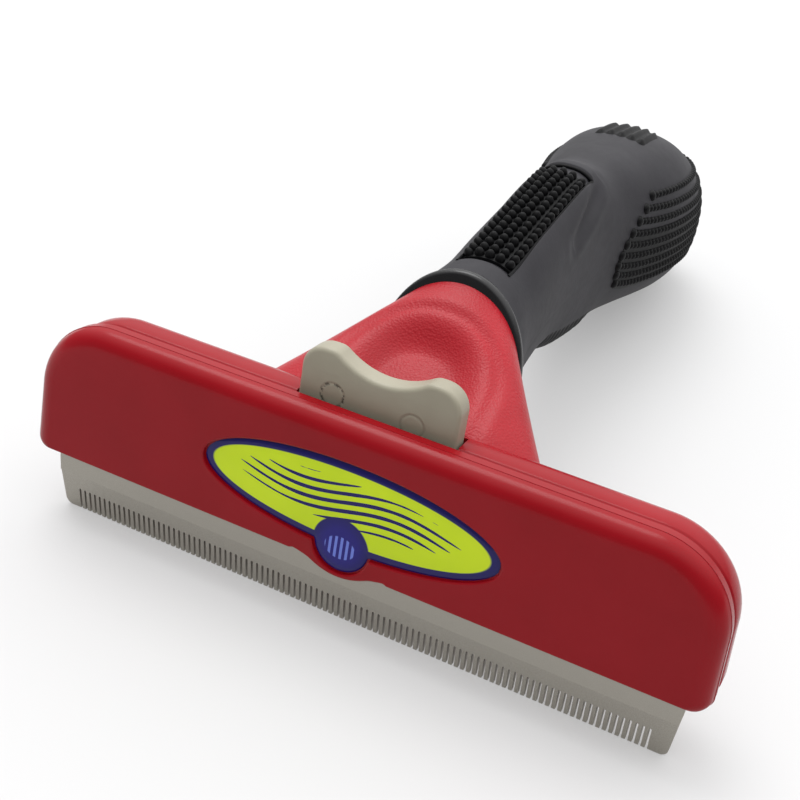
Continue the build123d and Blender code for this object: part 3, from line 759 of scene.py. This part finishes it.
def make_grip():
    """The soft skin of grip and pommel, with its rings closer together at the tail."""
    tail = GRIP_END - 12.0 * np.linspace(1, 0, 60) ** 2
    depths = np.concatenate([np.linspace(GRIP_FRONT, 92, 300), np.linspace(92.4, 152.8, 150), tail])
    turns = np.linspace(0, 2 * pi, 300, endpoint=False)
    points, faces = tube(GRIP_ROWS, depths, turns, grip_relief)
    points[:, 1] = np.minimum(points[:, 1], GRIP_END)
    add_piece("grip_skin", points, faces, "grip_rubber", "root", ["grip_shell"], 60.0)


# ---------------------------------------------------------------- grip pads

def top_point(x, depth, lift=0.0):
    """A point on top of the grip, moved up by lift."""
    _, top, bottom, half, _, power = along(GRIP_ROWS, np.array(float(depth)))
    share = (1 - min(0.99, abs(x) / half) ** power) ** (1 / power)
    height = (top + bottom) / 2 + (top - bottom) / 2 * share
    return np.array((x, depth, height + lift))


def side_point(depth, height, lift=0.0, side=1):
    """A point on the side of the grip at a height, moved out by lift, and the outward direction."""
    _, top, bottom, half, _, power = along(GRIP_ROWS, np.array(float(depth)))
    tall = (top - bottom) / 2
    rise = float(np.clip((height - (top + bottom) / 2) / tall, -0.985, 0.985))
    across = (1 - abs(rise) ** power) ** (1 / power)
    upward = np.sign(rise) * abs(rise) ** (power - 1) / tall
    outward = np.array((across ** (power - 1) / half, 0, upward))
    outward /= np.linalg.norm(outward)
    place = np.array((half * across, depth, height)) + outward * lift
    return place * (side, 1, 1), outward * (side, 1, 1)


def dome(place, outward, radius, height, rings=5, steps=12, sink=0.4):
    """A small round nub standing on the skin, its foot sunk in."""
    outward = np.array(outward, float)
    first = np.cross(outward, (0, 1, 0.01))
    first /= np.linalg.norm(first)
    second = np.cross(outward, first)
    points = []
    for ring in range(rings):
        level = (ring / rings) * pi / 2
        for index in range(steps):
            turn = 2 * pi * index / steps
            flat = (first * cos(turn) + second * sin(turn)) * radius * cos(level)
            points.append(place + flat + outward * (height * sin(level) - (sink if ring == 0 else 0)))
    points.append(place + outward * height)
    faces = ring_faces(rings, steps, close_end=False)
    start = (rings - 1) * steps
    faces += [(start + i, start + (i + 1) % steps, rings * steps) for i in range(steps)]
    return points, faces


def strip(path, half_width, height, outward=None, steps=8):
    """A rounded bead along a path on the skin, standing up or in the outward directions."""
    path = [np.array(p, float) for p in path]
    points = []
    for index, place in enumerate(path):
        ahead = path[min(index + 1, len(path) - 1)] - path[max(index - 1, 0)]
        ahead /= np.linalg.norm(ahead)
        up = np.array((0, 0, 1.0)) if outward is None else outward[index]
        aside = np.cross(ahead, up)
        aside /= np.linalg.norm(aside)
        up = np.cross(aside, ahead)
        for turn in np.arange(steps) * 2 * pi / steps:
            points.append(place + aside * half_width * cos(turn) + up * height * sin(turn))
    return points, ring_faces(len(path), steps)


def make_thumb_nubs():
    """Nubs of the thumb pad on a black patch that is painted shade between them, with black beads round the
    window that are partly a black seam and partly painted shade on the window's walls.
    """
    parts = []
    for row in range(NUB_ROWS):
        x = (row - (NUB_ROWS - 1) / 2) * NUB_PITCH
        for index in range(NUBS_PER_ROW):
            depth = NUB_FRONT + index * NUB_PITCH
            rise = top_point(x, depth + 1)[2] - top_point(x, depth - 1)[2]
            roll = top_point(x + 0.2, depth)[2] - top_point(x - 0.2, depth)[2]
            outward = np.array((-roll / 0.4, -rise / 2, 1.0))
            outward /= np.linalg.norm(outward)
            parts.append(dome(top_point(x, depth, -0.8), outward, NUB_RADIUS, NUB_HEIGHT, 6, 14))
    # painted shade: this black sheet under the nubs darkens the floor between them, where shade falls
    across = np.linspace(-SHADE_PATCH_HALF, SHADE_PATCH_HALF, 24)
    depths = np.linspace(SHADE_PATCH_FRONT, SHADE_PATCH_BACK, 60)
    outer = np.array([[top_point(x, y, -0.75) for y in depths] for x in across])
    parts.append(slab_patch(outer, outer - (0, 0, 0.6)))
    # black beads along both sides and the back end of the window: partly a black seam, partly painted shade
    # on the window's walls
    edge, end = WINDOW_HALF - 0.35, WINDOW_BACK - 0.4
    seam = [top_point(-edge, y, -0.5) for y in np.linspace(WINDOW_FRONT, end, 60)]
    parts.append(strip(seam, 0.35, 0.4))
    parts.append(strip([(-x, y, z) for x, y, z in seam], 0.35, 0.4))
    back = [top_point(x, end, -0.4) for x in np.linspace(-edge, edge, 30)]
    parts.append(strip(back, 0.45, 0.45))
    points, faces = join(parts)
    add_piece("thumb_pad_nubs", points, faces, "pad_rubber", "root", ["thumb_pad"], 50.0)


def row_start(row):
    """Depth at which a row begins: the rows are stepped along a curve."""
    return 96.0 + 12.6 * max(0, (6 - row) / 6) ** 1.7 + 0.35 * max(0, row - 6) ** 2


def pommel_line(row, depths):
    """Heights along a row of nubs on the side of the pommel; rows may be fractions."""
    drop = 2.7 * (1 - exp(-0.42 * row - 0.1))
    start = POMMEL_ROW_TOP - POMMEL_ROW_GAP * row
    return start - drop * (1 - np.exp((row_start(row) - depths) / 10.0))


def row_end(row):
    """Depth at which the pommel gets too small for the row."""
    depths = np.arange(row_start(row), 158.0, 0.25)
    value = along(GRIP_ROWS, depths)
    middle, tall = (value[:, 1] + value[:, 2]) / 2, (value[:, 1] - value[:, 2]) / 2
    fits = np.cumprod((np.abs(pommel_line(row, depths) - middle) / tall < 0.9) & (value[:, 3] > 9.0))
    return depths[int(fits.sum()) - 1]


def make_pommel_nubs(side, name):
    """Rows of nubs on the side of the pommel, the lower ones on a black patch that is painted shade between
    the close rows.
    """
    parts = []
    for row in range(POMMEL_ROWS):
        depths = np.arange(row_start(row), row_end(row), POMMEL_NUB_PITCH)
        heights = pommel_line(row, depths)
        found = [side_point(y, z, -0.1, side) for y, z in zip(depths, heights)]
        parts.append(strip([p for p, _ in found], 0.8, 0.45, [n for _, n in found]))
        for index, (place, outward) in enumerate(found):
            parts.append(dome(place, outward, 1.3 if index == 0 else 0.86, 0.95, 4, 10))
    # painted shade: this black sheet under the lower rows darkens the floor between the close nubs, where
    # shade falls
    outer, inner = [], []
    for row in np.linspace(2.7, 8.75, 40):
        depths = np.linspace(row_start(row) - 0.6, row_end(row), 60)
        places = list(zip(depths, pommel_line(row, depths)))
        outer.append([side_point(y, z, 0.12, side)[0] for y, z in places])
        inner.append([side_point(y, z, -1.0, side)[0] for y, z in places])
    parts.append(slab_patch(np.array(outer), np.array(inner)))
    points, faces = join(parts)
    add_piece(name + "_nubs", points, faces, "pad_rubber", "root", [name], 50.0)


def make_cap_pad():
    """Ribbed black patch on top of the pommel, with a bowed back edge."""
    outer = []
    for x in np.linspace(-CAP_HALF, CAP_HALF, 61):
        column = []
        for share in np.linspace(0, 1, 30):
            depth = CAP_FRONT + share * (CAP_LENGTH - 0.11 * x * x)
            edge = min(1, 12 * share, 12 * (1 - share), 2.5 * (CAP_HALF - abs(x)))
            rib = 0.5 + 0.5 * cos(2 * pi * x / CAP_RIB_PITCH)
            column.append(top_point(x, depth, -0.25 + (0.35 + 0.8 * rib) * edge))
        outer.append(column)
    outer = np.array(outer)
    points, faces = slab_patch(outer, outer - (0, 0, 1.4))
    add_piece("pommel_cap_ribs", points, faces, "pad_rubber", "root", ["pommel_cap_pad"], 50.0)


def make_finger_pad():
    """Ridged black patch under the grip where the forefinger curls round."""
    below_grip = -pi / 2
    depths = np.linspace(FINGER_FRONT, FINGER_BACK, 50)
    turns = np.linspace(below_grip - FINGER_SPREAD, below_grip + FINGER_SPREAD, 31)
    depth_grid, turn_grid = np.meshgrid(depths, turns, indexing="ij")
    edge_y = np.minimum(1, np.minimum(depth_grid - FINGER_FRONT, FINGER_BACK - depth_grid) / 2.0)
    edge_x = np.minimum(1, (FINGER_SPREAD - np.abs(turn_grid - below_grip)) / 0.15)
    edge = np.clip(edge_y * edge_x, 0, 1)
    ridge = 0.22 * np.cos(2 * pi * depth_grid / FINGER_RIDGE_PITCH) * edge
    outer = surface(GRIP_ROWS, depth_grid, turn_grid, -0.3 + 0.55 * np.sqrt(edge) + ridge)
    inner = surface(GRIP_ROWS, depth_grid, turn_grid, np.full_like(edge, -1.2))
    points, faces = slab_patch(outer, inner)
    add_piece("finger_pad_skin", points, faces, "pad_rubber", "root", ["finger_pad"], 50.0)


# ---------------------------------------------------------------- button and badge

def button_ring(depth, inset):
    """The button's outline at a depth, drawn in by inset at its top and sides."""
    half, top, horn, inner = BUTTON_HALF - inset, BUTTON_TOP, HORN_RADIUS, HORN_INNER_RADIUS
    horn_x, valley_z, inner_z = BUTTON_HALF - horn, VALLEY_LOW + VALLEY_RADIUS, top - inner
    # a small arc leads from the horn's flat top into the valley's circle
    inner_x = ((VALLEY_RADIUS + inner) ** 2 - (valley_z - inner_z) ** 2) ** 0.5
    lean = degrees(atan2(valley_z - inner_z, inner_x))
    right = arc((horn_x, top - horn), horn - inset, 0, 90, 14)
    right += arc((inner_x, inner_z), inner - inset, 90, 180 - lean, 10)
    bowl = arc((0, valley_z), VALLEY_RADIUS + inset, -lean, lean - 180, 40)
    left = [(-x, z) for x, z in reversed(right)]
    ring = [(half, BUTTON_LOW)] + right + bowl[1:-1] + left + [(-half, BUTTON_LOW)]
    return [(x, depth, z) for x, z in ring]


def make_button():
    """The thumb button, with its front and back edges rounded."""
    bends = np.radians(np.linspace(0, 90, 8))
    rows = [(BUTTON_FRONT + BUTTON_EDGE * (1 - cos(t)), BUTTON_EDGE * (1 - sin(t))) for t in bends]
    rows += [(BUTTON_BACK - BUTTON_EDGE * (1 - cos(t)), BUTTON_EDGE * (1 - sin(t))) for t in bends[::-1]]
    rings = [button_ring(depth, inset) for depth, inset in rows]
    points = [p for ring in rings for p in ring]
    faces = ring_faces(len(rings), len(rings[0]))
    add_piece("ejector_button_cap", points, faces, "button_marked", "ejector", ["ejector_button"], 40.0)


def badge_dome(x, z):
    """Height of the clear dome over a place on the badge, from its edge inwards."""
    reach = ((x / BADGE_HALF[0]) ** 2 + ((z - BADGE_Z) / BADGE_HALF[1]) ** 2) ** 0.5
    lobe = ((x**2 + (z - LOBE_Z) ** 2) ** 0.5) / LOBE_RADIUS
    inward = 1 - min(reach, lobe)
    return DOME_HEIGHT * (1 - (1 - min(1.0, max(0.0, inward) * 1.6)) ** 2.2) ** 0.6


def make_badge():
    """Domed navy plate with a lime oval, flowing strands and a small comb in the lobe."""
    edge = badge_ring(0, BADGE_BACK)
    rings = [edge]
    for share in (0.0, 0.02, 0.05, 0.1, 0.17, 0.26, 0.38, 0.52, 0.68, 0.84):
        ring = [(x * (1 - share), z + (25.4 - z) * share) for x, _, z in edge]
        rings.append([(x, BADGE_BACK + 0.02 - badge_dome(x, z), z) for x, z in ring])
    points = [p for ring in rings for p in ring]
    faces = ring_faces(len(rings), BADGE_STEPS)
    replaced = ["badge_base", "badge_face", "badge_emblem", "badge_dome"]
    add_piece("badge_plate", points, faces, "badge_print", "root", replaced, 60.0)


# ---------------------------------------------------------------- stage, light and camera

FLOOR_HALF = 40.0  # metres
CAMERA_TARGET = (-0.0218, -0.0182, 0.0015)  # metres
CAMERA_DISTANCE = 0.30  # metres
CAMERA_AZIMUTH = 24.36  # degrees to the right of straight in front of the cover
CAMERA_HEIGHT = 35.20  # degrees above level
CAMERA_ROLL = 5.03  # degrees
CAMERA_LENS = 59.85  # mm, on a sensor 36 mm wide


def make_floor():
    """White paper, a little brighter than its light makes it, so that shadows stay pale."""
    corners = [(-FLOOR_HALF, -FLOOR_HALF, 0), (FLOOR_HALF, -FLOOR_HALF, 0)]
    corners += [(FLOOR_HALF, FLOOR_HALF, 0), (-FLOOR_HALF, FLOOR_HALF, 0)]
    mesh = bpy.data.meshes.new("floor")
    mesh.from_pydata(corners, [], [(0, 1, 2, 3)])
    floor = bpy.data.objects.new("floor", mesh)
    bpy.context.scene.collection.objects.link(floor)
    glow = {"Emission_Color": (1, 1, 1, 1), "Emission_Strength": 0.31}
    paper = new_material("floor_paper", (0.37, 0.37, 0.372), 0.8, Specular_IOR_Level=0.2, **glow)
    bump(paper, noise(paper, 900.0), 0.00002, 0.3)
    mesh.materials.append(paper)


def make_sky():
    """A white sky, bright overhead and behind, and dim towards the horizon in front."""
    world = bpy.data.worlds.new("studio")
    world.use_nodes = True
    tree = world.node_tree
    background = tree.nodes["Background"]
    background.inputs["Color"].default_value = (1, 1, 1, 1)
    place = tree.nodes.new("ShaderNodeTexCoord")
    toward = tree.nodes.new("ShaderNodeVectorMath")
    toward.operation = "DOT_PRODUCT"
    toward.inputs[1].default_value = (0.0, 0.34, 0.9)
    ramp = tree.nodes.new("ShaderNodeMapRange")
    ramp.interpolation_type = "SMOOTHSTEP"
    for socket, value in (("From Min", 0.15), ("From Max", 0.95), ("To Min", 0.35), ("To Max", 2.3)):
        ramp.inputs[socket].default_value = value
    tree.links.new(place.outputs["Generated"], toward.inputs[0])
    tree.links.new(toward.outputs["Value"], ramp.inputs["Value"])
    tree.links.new(ramp.outputs["Result"], background.inputs["Strength"])
    bpy.context.scene.world = world


def make_studio():
    """The sky and a broad overhead light."""
    make_sky()
    sun = bpy.data.lights.new("overhead", "SUN")
    sun.energy = 1.3
    sun.angle = radians(35)
    overhead = bpy.data.objects.new("overhead", sun)
    overhead.rotation_euler = Vector((0.35, -0.30, -1.0)).to_track_quat("-Z", "Y").to_euler()
    bpy.context.scene.collection.objects.link(overhead)
    bpy.context.scene.view_settings.view_transform = "Standard"
    bpy.context.scene.view_settings.look = "None"


def make_camera():
    """A camera above and to the right of the cover, looking down at the head."""
    lens = bpy.data.cameras.new("camera")
    lens.lens = CAMERA_LENS
    lens.sensor_width = 36.0
    lens.clip_start = 0.01
    camera = bpy.data.objects.new("camera", lens)
    level = radians(CAMERA_HEIGHT)
    side = radians(CAMERA_AZIMUTH)
    back = Vector((sin(side) * cos(level), -cos(side) * cos(level), sin(level)))
    aim = (-back).to_track_quat("-Z", "Y").to_matrix().to_4x4()
    place = Matrix.Translation(Vector(CAMERA_TARGET) + back * CAMERA_DISTANCE)
    camera.matrix_world = place @ (aim @ Matrix.Rotation(radians(CAMERA_ROLL), 4, "Z"))
    bpy.context.scene.collection.objects.link(camera)
    bpy.context.scene.camera = camera


finish_cad_nodes()
make_cover()
make_groove_bar()
make_housing()
make_neck()
make_collar()
make_grip()
make_thumb_nubs()
make_pommel_nubs(-1, "pommel_pad_left")
make_pommel_nubs(1, "pommel_pad_right")
make_cap_pad()
make_finger_pad()
make_button()
make_badge()
make_floor()
make_studio()
make_camera()

bpy.context.view_layer.update()
